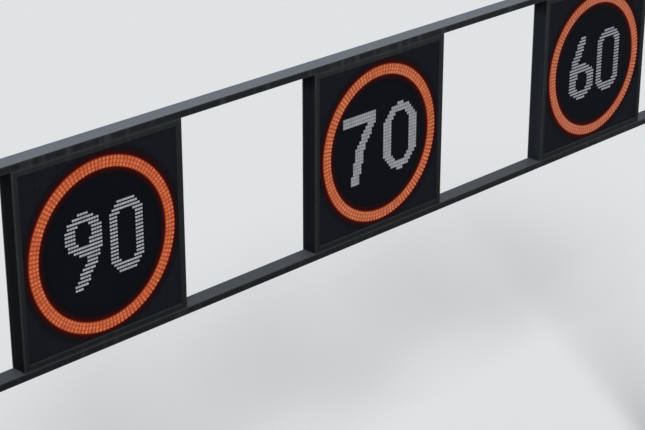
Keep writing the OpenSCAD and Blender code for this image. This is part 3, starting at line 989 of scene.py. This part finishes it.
rearwards = Matrix.Rotation(math.radians(-90), 4, "X")
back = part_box("top_rail")[1].y
for number in SIGNS:
    low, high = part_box(f"sign_{number}_rear_cover")
    middle = middle_at(f"sign_{number}_display_panel", back)
    reach = (high.x - low.x) / 2 - SCREW_TO_EDGE
    form = bmesh.new()
    for side in range(4):
        for step in range(SCREWS_A_SIDE):
            along = reach * (2 * step / SCREWS_A_SIDE - 1)
            spot = middle + Matrix.Rotation(math.radians(90 * side), 3, "Y") @ Vector((along, 0, reach))
            bmesh.ops.transform(form, matrix=Matrix.Translation(spot) @ rearwards, verts=add_screw(form))
    make_piece(f"sign_{number}_cover_screws", form, [zinc.material])
print(4 * SCREWS_A_SIDE, "screws in each rear cover")

# %% [markdown]
# Welds
# The gussets, plates and rails are joined by fillet welds, painted over with the rest. A fillet is a
# small rounded bead that fills the corner between two plates. A slim cylinder along each seam, half
# sunk in both plates, shows just that bead. Round a rail, a column or a plate the beads make a frame,
# and each of them runs on past its corner just far enough to close the outside of the bend.

# %% Model a weld
WELD_R, THIN_WELD_R = 0.007, 0.005
QUARTERS = ((1, 1), (-1, 1), (-1, -1), (1, -1))


def add_weld(form, start, end, radius=WELD_R):
    """A bead from start to end."""
    turn = (end - start).to_track_quat("Z", "Y").to_matrix().to_4x4()
    place = Matrix.Translation((start + end) / 2) @ turn
    bead = bmesh.ops.create_cone(form, cap_ends=True, segments=10, radius1=radius, radius2=radius,
                                 depth=(end - start).length, matrix=place)["verts"]
    for face in {face for vert in bead for face in vert.link_faces}:
        face.smooth = len(face.verts) == 4


def weld_frame(form, low, high, axis, corner=0.0):
    """Beads round a rectangle that lies across an axis, where low and high agree. Corners may be round."""
    a, b = [k for k in range(3) if k != axis]
    middle, half = (low + high) / 2, (high - low) / 2
    turns, bend = ((0, 45, 90), 45) if corner else ((0,), 90)
    spots = []
    for quarter, (side_a, side_b) in enumerate(QUARTERS):
        for turn in turns:
            angle = math.radians(90 * quarter + turn)
            spot = middle.copy()
            spot[a] += side_a * (half[a] - corner) + corner * math.cos(angle)
            spot[b] += side_b * (half[b] - corner) + corner * math.sin(angle)
            spots.append(spot)
    past_corner = WELD_R * math.tan(math.radians(bend / 2))
    for start, end in zip(spots, spots[1:] + spots[:1]):
        onwards = (end - start).normalized() * past_corner
        add_weld(form, start - onwards, end + onwards)


# %% Weld a column's gussets
GUSSET_PITCH, GUSSET_T, GUSSET_CLIP = 0.14, 0.015, 0.022


def weld_gussets(form, side):
    """Beads along both cheeks of the eight gussets of a column, on its foot plate and on its faces."""
    column_low, column_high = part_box(f"{side}_column")
    gusset_low, gusset_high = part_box(f"{side}_base_gussets")
    foot = Vector(((column_low.x + column_high.x) / 2, (column_low.y + column_high.y) / 2, gusset_low.z))
    half = column_high.y - foot.y
    top = gusset_high.z - foot.z
    for turn in range(4):
        outwards = Matrix.Translation(foot) @ Matrix.Rotation(math.radians(90 * turn), 4, "Z")
        end = half + (gusset_high - column_high)[turn % 2]
        for gusset in (-GUSSET_PITCH / 2, GUSSET_PITCH / 2):
            for cheek in (gusset - GUSSET_T / 2, gusset + GUSSET_T / 2):
                seams = (((half + GUSSET_CLIP, cheek, 0), (end, cheek, 0)),
                         ((half, cheek, GUSSET_CLIP), (half, cheek, top)))
                for seam in seams:
                    add_weld(form, *(outwards @ Vector(spot) for spot in seam), THIN_WELD_R)


# %% Weld the portal
COLUMN_CORNER, RAIL_CORNER = 0.018, 0.008
X_AXIS, Z_AXIS = 0, 2
WELD_ROUGH = 0.42

form = bmesh.new()
for side in ("left", "right"):
    weld_gussets(form, side)
    column_low, column_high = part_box(f"{side}_column")
    seats_low, seats_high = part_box(f"{side}_column_joint_plates")
    base_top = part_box(f"{side}_base_plate")[1].z
    for height in (base_top, column_high.z):
        low, high = (Vector((*corner.xy, height)) for corner in (column_low, column_high))
        weld_frame(form, low, high, Z_AXIS, COLUMN_CORNER)
    for rail in ("bottom_rail", "top_rail"):
        rail_low, rail_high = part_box(rail)
        end, wall = (rail_low.x, column_high.x) if side == "left" else (rail_high.x, column_low.x)
        low, high = (Vector((end, *corner.yz)) for corner in (rail_low, rail_high))
        weld_frame(form, low, high, X_AXIS, RAIL_CORNER)
        plate_low, plate_high = plate_heights(rail)
        low, high = Vector((wall, seats_low.y, plate_low)), Vector((wall, seats_high.y, plate_high))
        weld_frame(form, low, high, X_AXIS)
weld_paint = weathered_paint("weld_paint", ANTHRACITE, WELD_ROUGH)
welds = make_piece("portal_welds", form, [weld_paint])
print(welds.name, len(welds.data.polygons), "faces")
